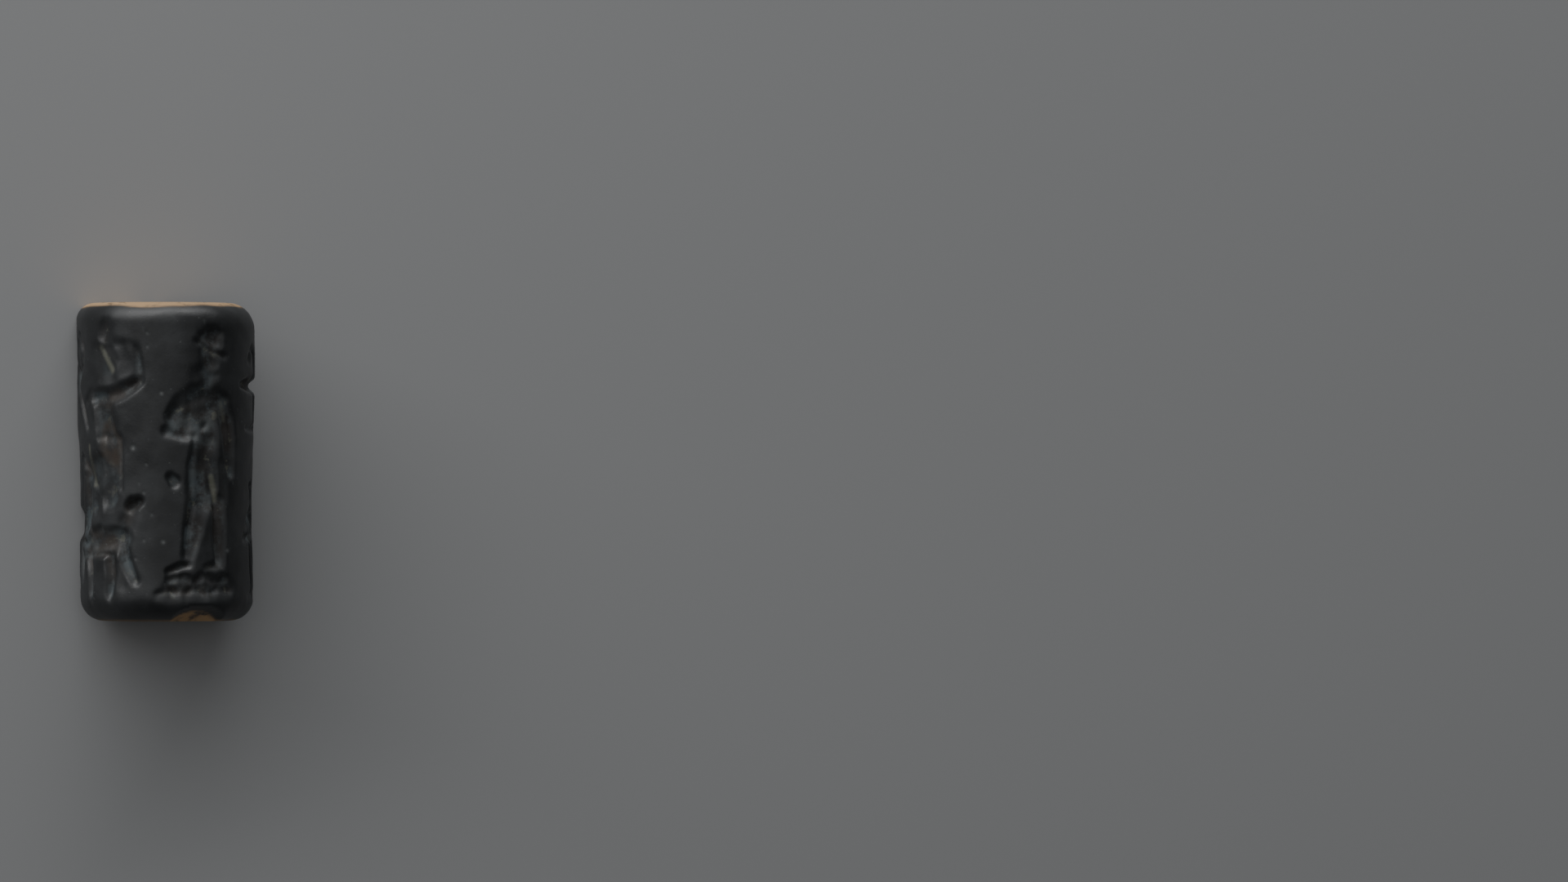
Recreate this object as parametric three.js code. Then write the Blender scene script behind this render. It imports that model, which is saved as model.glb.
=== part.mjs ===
import * as THREE from "three";
import { mergeVertices } from "three/addons/utils/BufferGeometryUtils.js";

// A worn cylinder seal of black stone, pierced lengthwise and broken along one side.
// Millimetres. It lies on its broken side, with its axis along +Y, the head end of the
// engraved field at +Y, and +Z up. Angles around the axis are in degrees from the middle of
// the best kept side and grow toward +X. Heights run along the axis from the middle.

// Body of the seal
const sealLength = 26.1;
const headDiameter = 14.7;
const footDiameter = 14.3;
// Handling has worn a shallow waist round the lower half.
const waistWear = 0.16;
const waistAboveFoot = 10;
const waistSpread = 5.5;

// Rounding of the two rims. The head rim is worn more on one side than on the other.
const headRimSharpest = 1.4;
const headRimRoundest = 2.2;
const headRimRoundestAt = 90;
const footRim = 2;

// Bore with its worn mouths
const boreDiameter = 2.3;
const mouthWear = 0.3;
const mouthDepth = 0.45;

// The break: a flat along the whole seal, with the stone left between it and the bore
const flatFacing = 197;
const stoneUnderBore = 1.45;
// Two dished flake scars in the flat meet in a ridge across it.
const thinnestStone = 0.6;
const headScarDepth = 0.5;
const headScarWidth = 11.4;
const headScarAside = -1.3;
const ridgeAboveFoot = 10;
const ridgeWidth = 1.2;
// A flake toward the head end widens the break on one side. It slopes with the distance from
// the head end and runs out in a steeper step.
const headFlakeFacing = 144;
const headFlakeStone = 2;
const headFlakeSlope = 0.2;
const headFlakeStep = 0.5;
const headFlakeLength = 11.3;
// A flake toward the foot end widens it on the other side.
const footFlakeFacing = -120;
const footFlakeStone = 4;
const footFlakeSlope = 0.16;
// Chips in the rims: one in the head end beside the break, one in the foot end at the front
const headChipFacing = 167;
const headChipStone = 0.85;
const headChipRadius = 5;
const headChipInset = 0.8;
const footChipFacing = 25;
const footChipRadius = 5;
const footChipRise = 1.35;
const footChipStone = 3.25;

// Engraved field, between plain margins at both ends
const headMargin = 1.55;
const footMargin = 1.55;
// Depths of the cutting: the deepest drilling, the marks, the bodies, the limbs and the folds
const deepDepth = 0.75;
const markDepth = 0.6;
const bodyDepth = 0.45;
const limbDepth = 0.36;
const foldDepth = 0.24;

// Facets: columns round the engraved part and across the flat, rows along the seal and the rims
const engravedColumns = 63;
const flatColumns = 14;
const sideRows = 49;
const rimRows = 4;
// Shares of a facet, to each side of its corner, at which the engraving is read
const facetSpread = [-0.35, 0, 0.35];

const degree = Math.PI / 180;
const leastShare = 0.05;
const halfLength = sealLength / 2;
const boreRadius = boreDiameter / 2;
const meanRadius = (headDiameter + footDiameter) / 4;
const flatDistance = boreRadius + stoneUnderBore;
const ridgeHeight = ridgeAboveFoot - halfLength;
const flatHalfAngle = Math.acos(flatDistance / meanRadius) / degree;
const columnTurn = (360 - 2 * flatHalfAngle) / engravedColumns;
const rowRise = sealLength / sideRows;

// The field is laid out on a grid of 230 steps from its base line to its top. The figures are
// given on it: steps sideways from the figure's own middle line, steps up from the base line,
// and the width of the cut in steps.
const fieldSteps = 230;
const fieldBase = footMargin - halfLength;
const step = (sealLength - headMargin - footMargin) / fieldSteps;

// A cut by a round tool has a round floor, a hollowed body has a flatter one, and a worn hollow
// has lost its edges.
const cut = (depth, ...path) => ({ depth, flatness: 2, wear: 1.1, path });
const hollow = (depth, ...path) => ({ depth, flatness: 3.4, wear: 1.4, path });
const worn = (depth, ...path) => ({ depth, flatness: 2, wear: 1.9, path });

// A standing man with a mace, in a round cap with a brim and an open robe
const maceBearer = {
  around: 25,
  cuts: [
    worn(bodyDepth, [0, 217, 10], [13, 212, 15]),
    hollow(limbDepth, [6, 220, 11], [13, 217, 14]),
    cut(limbDepth, [20, 201, 5], [7, 207, 6], [-5, 213, 5]),
    hollow(limbDepth, [4, 204, 15], [6, 196, 17]),
    worn(foldDepth, [10, 186, 12], [0, 189, 19]),
    worn(limbDepth, [4, 184, 18], [2, 176, 22]),
    worn(bodyDepth, [21, 165, 14], [7, 168, 24], [-8, 168, 26], [-19, 161, 22], [-27, 152, 15]),
    hollow(limbDepth, [6, 160, 28], [-10, 157, 28]),
    hollow(limbDepth, [4, 152, 26], [3, 132, 26]),
    hollow(bodyDepth, [-3, 147, 30], [-21, 148, 22]),
    worn(bodyDepth, [15, 165, 18], [22, 150, 17], [26, 132, 15], [28, 104, 9]),
    cut(limbDepth, [21, 168, 6], [28, 152, 7], [32, 134, 6], [31, 104, 5]),
    cut(deepDepth, [3, 144, 8], [1, 142, 8]),
    worn(bodyDepth, [-4, 135, 12], [-18, 138, 15], [-31, 141, 11]),
    cut(markDepth, [-5.5, 137, 8], [-7, 134, 8]),
    cut(limbDepth, [2, 156, 5], [14, 161, 5]),
    cut(limbDepth, [-12, 151, 7], [-24, 154, 6]),
    hollow(bodyDepth, [3, 130, 25], [1, 106, 29], [0, 86, 32]),
    cut(bodyDepth, [-7, 133, 6], [-10, 112, 7], [-10, 94, 8]),
    worn(limbDepth, [-10, 98, 10], [-11, 84, 10], [-14, 60, 9], [-17, 40, 6]),
    cut(bodyDepth, [2, 122, 7], [5, 108, 9]),
    cut(markDepth, [5, 106, 8], [8, 96, 9], [12, 82, 7]),
    worn(foldDepth, [20, 112, 16], [21, 86, 14]),
    hollow(limbDepth, [-1, 84, 20], [-6, 60, 18], [-13, 38, 12]),
    cut(markDepth, [-9, 80, 7], [-13, 58, 8], [-16, 38, 7]),
    hollow(limbDepth, [13, 82, 18], [17, 62, 15], [20, 34, 10]),
    cut(markDepth, [12, 78, 8], [14.5, 58, 9], [18, 34, 8]),
    cut(limbDepth, [21, 31, 7], [13, 30, 7], [3, 28, 5]),
    cut(markDepth, [-12, 31, 6], [-20, 29, 7], [-31, 25, 5]),
    hollow(bodyDepth, [-27, 101, 9], [-24.5, 98, 12]),
  ],
};

// His footing of small uneven blocks, two courses of them
const courseHeights = [9, 19];
const blocksInCourse = 5;
const footing = {
  around: maceBearer.around,
  cuts: [worn(foldDepth, [26, 12, 22], [-28, 10, 22]), worn(limbDepth, [-33, 9, 7], [-40, 7, 6])],
};
for (const [course, height] of courseHeights.entries()) {
  for (let block = 0; block < blocksInCourse; block += 1) {
    const middle = 25 - 12 * block - 3 * course;
    const lift = 2 * Math.sin(2.4 * block + 3 * course);
    const wide = 9.5 + 1.5 * Math.cos(3.1 * block + 2 * course);
    const ends = [[middle + 2.5, height + lift, wide], [middle - 2.5, height - lift, wide]];
    footing.cuts.push(cut(bodyDepth, ...ends));
  }
}

// A god in a tall cap with one arm raised and a forked thunderbolt in the other hand
const godOnBull = {
  around: -43,
  cuts: [
    worn(limbDepth, [1, 225, 19], [0, 217, 20]),
    worn(foldDepth, [0, 206, 24], [-1, 190, 26]),
    worn(foldDepth, [-2, 208, 9], [6, 194, 10]),
    worn(limbDepth, [30, 207, 9], [30, 196, 11], [30, 183, 13]),
    worn(markDepth, [29, 180, 14], [15, 173, 18], [2, 169, 19], [-15, 168, 15]),
    cut(foldDepth, [-12, 171, 8], [-22, 172, 7], [-28, 164, 5]),
    hollow(bodyDepth, [-3, 160, 26], [-2, 148, 24], [2, 134, 22]),
    worn(bodyDepth, [-4, 135, 16], [9, 133, 15]),
    cut(bodyDepth, [-26, 142, 5], [-38, 161, 7], [-50, 179, 8]),
    worn(bodyDepth, [-48, 178, 9], [-38, 194, 9], [-36, 206, 9], [-43, 220, 7]),
    worn(bodyDepth, [-49, 180, 9], [-47, 196, 10], [-49, 214, 8]),
    worn(bodyDepth, [-49, 179, 9], [-59, 197, 9], [-65, 223, 7]),
    hollow(bodyDepth, [3, 126, 25], [2, 104, 27], [1, 88, 28]),
    worn(limbDepth, [4, 84, 20], [-2, 82, 20]),
    cut(bodyDepth, [13, 134, 5], [14, 112, 5], [14, 92, 5]),
    cut(limbDepth, [-8, 118, 6], [0, 102, 6], [6, 88, 6]),
    worn(limbDepth, [-12, 112, 26], [-16, 78, 26]),
    cut(limbDepth, [-14, 94, 10], [-24, 103, 11], [-39, 120, 7]),
    worn(bodyDepth, [-30, 102, 20], [-32, 84, 20], [-32, 64, 20]),
    cut(limbDepth, [-26, 100, 8], [-26, 80, 7], [-25, 60, 7]),
  ],
};

// The bull that he stands on
const bull = {
  around: -47,
  cuts: [
    hollow(deepDepth, [36, 82, 7], [30, 79.5, 11], [27, 77, 9]),
    worn(foldDepth, [29, 72, 18], [23, 62, 24]),
    cut(bodyDepth, [-4, 60, 7], [-18, 56, 7], [-36, 46, 7], [-47, 56, 6]),
    hollow(bodyDepth, [21, 53, 19], [0, 51, 22], [-28, 47, 18]),
    worn(limbDepth, [18, 50, 30], [10, 48, 26]),
    cut(bodyDepth, [10, 40, 5], [-33, 38, 5]),
    cut(bodyDepth, [18, 52, 14], [25, 35, 13], [33, 18, 8]),
    cut(bodyDepth, [8, 38, 12], [11, 22, 13], [9, 7, 9]),
    cut(bodyDepth, [5, 34, 6], [9, 18, 5]),
    cut(bodyDepth, [-24, 42, 12], [-19, 28, 9], [-17, 5, 7]),
    worn(limbDepth, [-34, 40, 12], [-34, 20, 8]),
    cut(bodyDepth, [-47, 56, 6], [-42, 40, 6], [-36, 24, 5]),
    hollow(bodyDepth, [-34, 64, 28], [-80, 64, 28]),
  ],
};

// A standard: two cross bars on a rod that ends in a crook
const doubleBar = {
  around: 80,
  cuts: [
    cut(limbDepth, [1.8, 198, 5], [1.8, 142, 5]),
    cut(limbDepth, [2, 192, 5], [0, 204, 5], [-7, 208, 6], [-14, 197, 5]),
    hollow(deepDepth, [18, 178, 9], [2, 178, 13], [-14, 178, 12], [-27, 178, 5]),
    cut(bodyDepth, [14, 142.6, 5], [6, 142.6, 7], [-8, 142.6, 7], [-18, 142.6, 5]),
  ],
};

// A small figure in a flat cap, with hands clasped at the waist
const smallFigure = {
  around: 80,
  cuts: [
    hollow(limbDepth, [8, 98, 7], [-3, 97, 8]),
    hollow(limbDepth, [3, 94, 11], [3, 86, 10]),
    cut(foldDepth, [3, 84, 6], [3, 76, 7]),
    cut(bodyDepth, [10, 70, 8], [14, 58, 6], [4, 52, 5]),
    cut(bodyDepth, [-6, 70, 8], [-17, 53, 6], [-1, 53, 5]),
    hollow(bodyDepth, [2, 71, 15], [1, 56, 12]),
    cut(bodyDepth, [5, 50, 7], [6, 28, 7], [6, 8, 5]),
    cut(bodyDepth, [-4, 50, 7], [-4, 28, 7], [-3, 8, 5]),
  ],
};

// What the break has left of an attendant in a long robe
const robedAttendant = {
  around: 115,
  cuts: [
    hollow(limbDepth, [-4, 120, 14], [1, 92, 24], [2, 40, 28]),
    cut(bodyDepth, [-8, 127, 5], [-12, 92, 6], [-13, 33, 5]),
    cut(bodyDepth, [-3, 120, 5], [-6, 80, 5], [-6, 36, 5]),
    cut(bodyDepth, [7, 102, 5], [9, 70, 5], [10, 36, 5]),
    cut(limbDepth, [4, 29, 6], [-12, 28, 6]),
  ],
};

const figures = [maceBearer, footing, godOnBull, bull, doubleBar, smallFigure, robedAttendant];

// The angle from one direction round to another, between -180 and 180
function turnBetween(from, to) {
  return THREE.MathUtils.euclideanModulo(to - from + 180, 360) - 180;
}

// Depth of one cut at a place on the layout grid
function cutDepth({ depth, flatness, wear, path }, side, up) {
  let deepest = 0;
  for (let i = 1; i < path.length; i += 1) {
    const [side0, up0, width0] = path[i - 1];
    const [side1, up1, width1] = path[i];
    const runSide = side1 - side0;
    const runUp = up1 - up0;
    const along = ((side - side0) * runSide + (up - up0) * runUp) / (runSide ** 2 + runUp ** 2);
    const share = THREE.MathUtils.clamp(along, 0, 1);
    const away = Math.hypot(side - side0 - share * runSide, up - up0 - share * runUp);
    const offset = (2 * away) / THREE.MathUtils.lerp(width0, width1, share);
    if (offset < 1) deepest = Math.max(deepest, depth * (1 - offset ** flatness) ** wear);
  }
  return deepest;
}

// Depth of the engraving at one point of the seal
function engravingAt(around, height) {
  const up = (height - fieldBase) / step;
  let deepest = 0;
  for (const figure of figures) {
    const side = (turnBetween(figure.around, around) * degree * meanRadius) / step;
    for (const each of figure.cuts) deepest = Math.max(deepest, cutDepth(each, side, up));
  }
  return deepest;
}

// Depth of the engraving at a corner of the facets. They are about as wide as the finer cuts,
// so each corner takes the mean depth of nine points spread round it.
function engravingDepth(around, height) {
  let sum = 0;
  for (const aside of facetSpread) {
    for (const above of facetSpread) {
      sum += engravingAt(around + aside * columnTurn, height + above * rowRise);
    }
  }
  return sum / facetSpread.length ** 2;
}

// Radius of the round body before it was engraved and broken
function bodyRadius(height) {
  const diameter = THREE.MathUtils.lerp(footDiameter, headDiameter, height / sealLength + 0.5);
  const fromWaist = (height - (waistAboveFoot - halfLength)) / waistSpread;
  return diameter / 2 - waistWear * Math.exp(-(fromWaist ** 2));
}

// Radius of the head rim's rounding, which changes round the seal
function headRim(around) {
  const share = (1 + Math.cos((around - headRimRoundestAt) * degree)) / 2;
  return THREE.MathUtils.lerp(headRimSharpest, headRimRoundest, share);
}

// How far a rounded rim has drawn in at a distance from its end face
function rimDrop(rim, fromEnd) {
  return fromEnd < rim ? rim - Math.sqrt(rim ** 2 - (rim - fromEnd) ** 2) : 0;
}

// Distance from the axis, in the direction around, to a flat break, which a direction that runs
// almost along it never meets
function toFlat(around, facing, distance) {
  const share = Math.cos((around - facing) * degree);
  return share > leastShare ? distance / share : Infinity;
}

// Distance from the axis to a hollow flake scar, the inside of a ball with its middle at a
// distance out from the axis
function toScar(around, height, scar) {
  const along = scar.out * Math.cos((around - scar.facing) * degree);
  const across = along ** 2 - scar.out ** 2 + scar.radius ** 2 - (height - scar.height) ** 2;
  return along > 0 && across > 0 ? along - Math.sqrt(across) : Infinity;
}

// A shallow round scar in the flat, from its depth, its reach from its middle and its place
function dish(depth, reach, aside, height) {
  const radius = (reach ** 2 + depth ** 2) / (2 * depth);
  const below = flatDistance - depth + radius;
  const facing = flatFacing - Math.atan2(aside, below) / degree;
  return { facing, out: Math.hypot(aside, below), radius, height };
}

const headScarReach = headScarWidth / 2;
const headScar = dish(
  headScarDepth,
  headScarReach,
  headScarAside,
  ridgeHeight + ridgeWidth / 2 + headScarReach,
);
const footScar = dish(stoneUnderBore - thinnestStone, ridgeAboveFoot - ridgeWidth / 2, 0, -halfLength);
const headChip = {
  facing: headChipFacing,
  out: boreRadius + headChipStone + headChipRadius,
  radius: headChipRadius,
  height: halfLength - headChipInset,
};

// The chip in the foot rim is the inside of a ball through two points: its lip on the rounded
// rim, and its floor at the end face.
const footChipFloor = boreRadius + footChipStone;
const footChipLip = footDiameter / 2 - rimDrop(footRim, footChipRise);
const footChipChord = Math.hypot(footChipLip - footChipFloor, footChipRise);
const footChipAway = Math.sqrt((footChipRadius / footChipChord) ** 2 - 1 / 4);
const footChip = {
  facing: footChipFacing,
  out: (footChipLip + footChipFloor) / 2 + footChipRise * footChipAway,
  radius: footChipRadius,
  height: footChipRise / 2 - (footChipLip - footChipFloor) * footChipAway - halfLength,
};

// Radius of the broken and engraved seal at a place on it
function sealRadius(around, height) {
  const fromHead = halfLength - height;
  const fromFoot = halfLength + height;
  const rims = rimDrop(headRim(around), fromHead) + rimDrop(footRim, fromFoot);
  const engraved = bodyRadius(height) - rims - engravingDepth(around, height);
  const flakeRun = headFlakeSlope * fromHead;
  const flakeStep = headFlakeStep * (fromHead - headFlakeLength) + headFlakeSlope * headFlakeLength;
  const headFlake = boreRadius + headFlakeStone + Math.max(flakeRun, flakeStep);
  const footFlake = boreRadius + footFlakeStone + footFlakeSlope * fromFoot;
  return Math.min(
    engraved,
    toFlat(around, flatFacing, flatDistance),
    toFlat(around, headFlakeFacing, headFlake),
    toFlat(around, footFlakeFacing, footFlake),
    toScar(around, height, headScar),
    toScar(around, height, footScar),
    toScar(around, height, headChip),
    toScar(around, height, footChip),
  );
}

// The columns: evenly round the engraved part, then evenly across the flat
const columns = [];
for (let i = 0; i < engravedColumns; i += 1) {
  columns.push(flatFacing + flatHalfAngle - 360 + i * columnTurn);
}
for (let i = 0; i < flatColumns; i += 1) {
  const across = Math.tan(flatHalfAngle * degree) * (1 - (2 * i) / flatColumns);
  columns.push(flatFacing - Math.atan(across) / degree);
}

// Heights of the rows on the outside of one column, from the foot end to the head end
function rowHeights(around) {
  const rim = headRim(around);
  const heights = [];
  for (let i = 0; i < rimRows; i += 1) {
    heights.push(-halfLength + footRim * (1 - Math.cos((i / rimRows) * 90 * degree)));
  }
  for (let i = 0; i <= sideRows; i += 1) {
    heights.push(THREE.MathUtils.lerp(footRim - halfLength, halfLength - rim, i / sideRows));
  }
  for (let i = rimRows - 1; i >= 0; i -= 1) {
    heights.push(halfLength - rim * (1 - Math.cos((i / rimRows) * 90 * degree)));
  }
  return heights;
}

// The closed section of one column: out from the bore over the foot end, along the outside,
// and back into the bore over the head end
function section(around) {
  const outside = rowHeights(around).map((height) => [sealRadius(around, height), height]);
  return [
    [boreRadius, mouthDepth - halfLength],
    [boreRadius + mouthWear, -halfLength],
    ...outside,
    [boreRadius + mouthWear, halfLength],
    [boreRadius, halfLength - mouthDepth],
    [boreRadius, mouthDepth - halfLength],
  ];
}

// The stone is turned as a ring from one section, and each column then takes its own.
function makeSeal() {
  const profile = section(0).map(([radius, height]) => new THREE.Vector2(radius, height));
  const ring = new THREE.LatheGeometry(profile, columns.length);
  const position = ring.getAttribute("position");
  for (let column = 0; column <= columns.length; column += 1) {
    const around = columns[column % columns.length];
    // The flat faces straight down.
    const turn = (around - flatFacing + 180) * degree;
    section(around).forEach(([radius, height], row) => {
      const vertex = column * profile.length + row;
      position.setXYZ(vertex, radius * Math.sin(turn), height, radius * Math.cos(turn));
    });
  }
  ring.deleteAttribute("normal");
  ring.deleteAttribute("uv");
  const stone = mergeVertices(ring, 1e-4);
  // The seal rests on the ground plane, with its outer box centred over the origin.
  stone.computeBoundingBox();
  const middle = stone.boundingBox.getCenter(new THREE.Vector3());
  stone.translate(-middle.x, -middle.y, -stone.boundingBox.min.z);
  stone.computeVertexNormals();
  return stone;
}

const blackStone = new THREE.MeshStandardMaterial({
  color: 0x2b2d2f,
  roughness: 0.45,
  metalness: 0,
});

const seal = new THREE.Mesh(makeSeal(), blackStone);
seal.name = "seal";

const group = new THREE.Group();
group.name = "cylinder_seal";
group.add(seal);

export default group;
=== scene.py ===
"""A worn cylinder seal of black stone, pierced lengthwise and broken along one side.

The seal lies on its broken flat, with its axis along +Y and the head end of the engraved scene
at +Y. Sizes are in millimetres and angles in degrees until a mesh is written, which is in
metres. Angles around the axis count from the middle of the best kept side toward +X, and
heights run along the axis from the middle of the seal.
"""

import logging
import math
from dataclasses import dataclass, field
from enum import Enum
from functools import reduce
from typing import Union

import bpy
import numpy as np
from mathutils import Matrix, Vector


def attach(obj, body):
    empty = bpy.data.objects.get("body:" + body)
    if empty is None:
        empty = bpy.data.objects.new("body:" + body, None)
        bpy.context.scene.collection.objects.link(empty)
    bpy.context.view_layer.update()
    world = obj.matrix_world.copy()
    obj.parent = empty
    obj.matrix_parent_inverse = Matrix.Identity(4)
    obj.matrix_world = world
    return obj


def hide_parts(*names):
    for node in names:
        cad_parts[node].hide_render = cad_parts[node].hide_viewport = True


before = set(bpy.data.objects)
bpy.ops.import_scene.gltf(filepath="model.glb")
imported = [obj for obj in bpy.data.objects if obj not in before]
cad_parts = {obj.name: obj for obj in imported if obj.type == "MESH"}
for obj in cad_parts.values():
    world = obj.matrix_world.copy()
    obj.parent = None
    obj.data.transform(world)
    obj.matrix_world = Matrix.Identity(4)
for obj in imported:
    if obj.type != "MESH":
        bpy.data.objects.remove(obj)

LOG = logging.getLogger("cylinder_seal")

Point = tuple[float, float, float]
Colour = tuple[float, float, float, float]
Band = tuple[float, float]
Socket = bpy.types.NodeSocket
Value = Union[Socket, float, Colour]

# A millimetre in metres, how near two places are one, and a distance well outside the seal
MM = 0.001
TOUCH = 0.001
FAR = 99.0

# Length of the seal and diameter of its bore
LENGTH = 26.1
BORE = 2.3

# The layout grid of the engraving: steps from its base line to its top, steps to each side
# that a figure may take up, and how closely cuts that overlap run into each other
STEPS_UP = 230
FIGURE_REACH = 80.0
BLEND = 5

# Depths of the cutting
DEEP, MARK, BODY, LIMB, FOLD, LINE = 0.75, 0.6, 0.45, 0.36, 0.24, 0.12


class Floor(Enum):
    """The shape of a cut's floor: how flat its middle is, and how worn its edge."""

    ROUND = (2.0, 1.1)
    FLAT = (3.4, 1.4)
    SOFT = (2.0, 1.9)


class Mask(Enum):
    """What lies on the stone or shows in it, and painted highlight streaks. Each is an attribute
    of the mesh.
    """

    DUST = "dust"
    EARTH = "earth"
    PAINTED_HIGHLIGHT = "straw"
    FILM = "film"
    BROKEN = "broken"
    FLECK = "fleck"


class Mix(Enum):
    """What a mix node mixes: its data type, its two inputs and its output."""

    VALUE = ("FLOAT", 2, 3, 0)
    COLOUR = ("RGBA", 6, 7, 2)


@dataclass(frozen=True)
class Cut:
    """One cut of the engraver's tool, on the layout grid of the field.

    Args:
        depth: Depth at its middle, in millimetres.
        floor: Shape of its floor.
        path: Steps sideways, steps up and width in steps, at each point along it.
    """

    depth: float
    floor: Floor
    path: tuple[Point, ...]

    def depth_at(self, side: np.ndarray, up: np.ndarray) -> np.ndarray:
        """Depth of the cut at places on the layout grid.

        Args:
            side: Steps sideways from the figure's middle line.
            up: Steps up from the base line.

        Returns:
            Depths in millimetres.
        """
        flatness, wear = self.floor.value
        deepest = np.zeros_like(side)
        for (s0, u0, w0), (s1, u1, w1) in zip(self.path, self.path[1:]):
            run_s, run_u = s1 - s0, u1 - u0
            share = ((side - s0) * run_s + (up - u0) * run_u) / (run_s**2 + run_u**2)
            share = np.clip(share, 0.0, 1.0)
            away = np.hypot(side - s0 - share * run_s, up - u0 - share * run_u)
            offset = np.clip(2.0 * away / (w0 + (w1 - w0) * share), 0.0, 1.0)
            deepest = np.maximum(deepest, (1.0 - offset**flatness) ** wear)
        return self.depth * deepest


@dataclass(frozen=True)
class Figure:
    """A figure of the engraved scene.

    Args:
        around: Angle of its middle line.
        cuts: The cuts that make it.
    """

    around: float
    cuts: tuple[Cut, ...]


def cut(depth: float, *path: Point) -> Cut:
    """A cut with a round floor."""
    return Cut(depth, Floor.ROUND, path)


def hollow(depth: float, *path: Point) -> Cut:
    """A hollowed body with a flatter floor."""
    return Cut(depth, Floor.FLAT, path)


def soft(depth: float, *path: Point) -> Cut:
    """A hollow whose edges are worn away."""
    return Cut(depth, Floor.SOFT, path)


MACE_BEARER = Figure(
    25.0,
    (
        soft(BODY, (0, 217, 10), (13, 212, 15)),
        hollow(LIMB, (6, 220, 11), (13, 217, 14)),
        cut(LIMB, (20, 201, 5), (7, 207, 6), (-5, 213, 5)),
        hollow(LIMB, (4, 204, 15), (6, 196, 17)),
        cut(LINE, (13, 202, 6), (11, 194, 6)),
        soft(FOLD, (10, 186, 12), (0, 189, 19)),
        soft(LINE, (0, 189, 19), (-7, 187, 16)),
        soft(LIMB, (4, 184, 18), (2, 176, 22)),
        soft(BODY, (21, 165, 14), (7, 168, 24), (-8, 168, 26), (-19, 161, 22), (-27, 152, 15)),
        hollow(LIMB, (6, 160, 28), (-10, 157, 28)),
        hollow(LIMB, (4, 152, 26), (3, 132, 26)),
        hollow(BODY, (-3, 147, 30), (-21, 148, 22)),
        soft(BODY, (15, 165, 18), (22, 150, 17), (26, 132, 15), (28, 104, 9)),
        cut(LIMB, (21, 168, 6), (28, 152, 7), (32, 134, 6), (31, 104, 5)),
        cut(DEEP, (3, 144, 8), (1, 142, 8)),
        soft(BODY, (-4, 135, 12), (-18, 138, 15), (-31, 141, 11)),
        cut(MARK, (-5.5, 137, 8), (-7, 134, 8)),
        cut(LIMB, (2, 156, 5), (14, 161, 4)),
        cut(LIMB, (-12, 151, 7), (-24, 154, 6)),
        hollow(BODY, (3, 130, 25), (1, 106, 29), (0, 86, 32)),
        cut(BODY, (-7, 133, 6), (-10, 112, 7), (-10, 94, 8)),
        soft(LIMB, (-10, 98, 10), (-11, 84, 10), (-14, 60, 9), (-17, 40, 6)),
        cut(BODY, (2, 122, 7), (5, 108, 9)),
        cut(MARK, (5, 106, 8), (8, 96, 9), (12, 82, 7)),
        soft(FOLD, (20, 112, 16), (21, 86, 14)),
        hollow(LIMB, (-1, 84, 20), (-6, 60, 18), (-13, 38, 12)),
        cut(MARK, (-9, 80, 7), (-13, 58, 8), (-16, 38, 7)),
        hollow(LIMB, (13, 82, 18), (17, 62, 15), (20, 34, 10)),
        cut(MARK, (12, 78, 8), (14.5, 58, 9), (18, 34, 8)),
        soft(LINE, (3, 78, 26), (2, 38, 30)),
        cut(LIMB, (21, 31, 7), (13, 30, 7), (3, 28, 5)),
        cut(BODY, (-12, 31, 6), (-20, 29, 7), (-31, 25, 5)),
        hollow(BODY, (-27, 101, 9), (-24.5, 98, 12)),
    ),
)

GOD_ON_BULL = Figure(
    -43.0,
    (
        soft(LIMB, (1, 225, 19), (0, 217, 20)),
        soft(LINE, (20, 206, 22), (20, 190, 24)),
        soft(LINE, (12, 212, 12), (30, 209, 14)),
        soft(LINE, (10, 198, 12), (2, 207, 14), (-10, 208, 12)),
        soft(FOLD, (0, 206, 24), (-1, 190, 26)),
        soft(FOLD, (-2, 208, 9), (6, 194, 10)),
        soft(LINE, (5, 184, 16), (-6, 184, 14)),
        soft(LIMB, (30, 207, 9), (30, 196, 11), (30, 183, 13)),
        soft(MARK, (29, 180, 14), (15, 173, 18), (2, 169, 19), (-15, 168, 15)),
        cut(FOLD, (-12, 171, 8), (-22, 172, 7), (-28, 164, 5)),
        hollow(BODY, (-3, 160, 26), (-2, 148, 24), (2, 134, 22)),
        soft(BODY, (-4, 135, 16), (9, 133, 15)),
        cut(BODY, (-26, 142, 5), (-38, 161, 7), (-50, 179, 8)),
        soft(BODY, (-48, 178, 9), (-38, 194, 9), (-36, 206, 9), (-43, 220, 7)),
        soft(BODY, (-49, 180, 9), (-47, 196, 10), (-49, 214, 8)),
        soft(BODY, (-49, 179, 9), (-59, 197, 9), (-65, 223, 7)),
        hollow(BODY, (3, 126, 25), (2, 104, 27), (1, 88, 28)),
        soft(LIMB, (4, 84, 20), (-2, 82, 20)),
        cut(BODY, (13, 134, 5), (14, 112, 5), (14, 92, 5)),
        cut(LIMB, (-8, 118, 6), (0, 102, 6), (6, 88, 6)),
        soft(LIMB, (-12, 112, 26), (-16, 78, 26)),
        cut(LIMB, (-14, 94, 10), (-24, 103, 11), (-39, 120, 7)),
        soft(BODY, (-30, 102, 20), (-32, 84, 20), (-32, 64, 20)),
        cut(LIMB, (-26, 100, 8), (-26, 80, 7), (-25, 60, 7)),
        cut(FOLD, (-42, 117, 5), (-42, 84, 5), (-41, 56, 5)),
    ),
)

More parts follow.
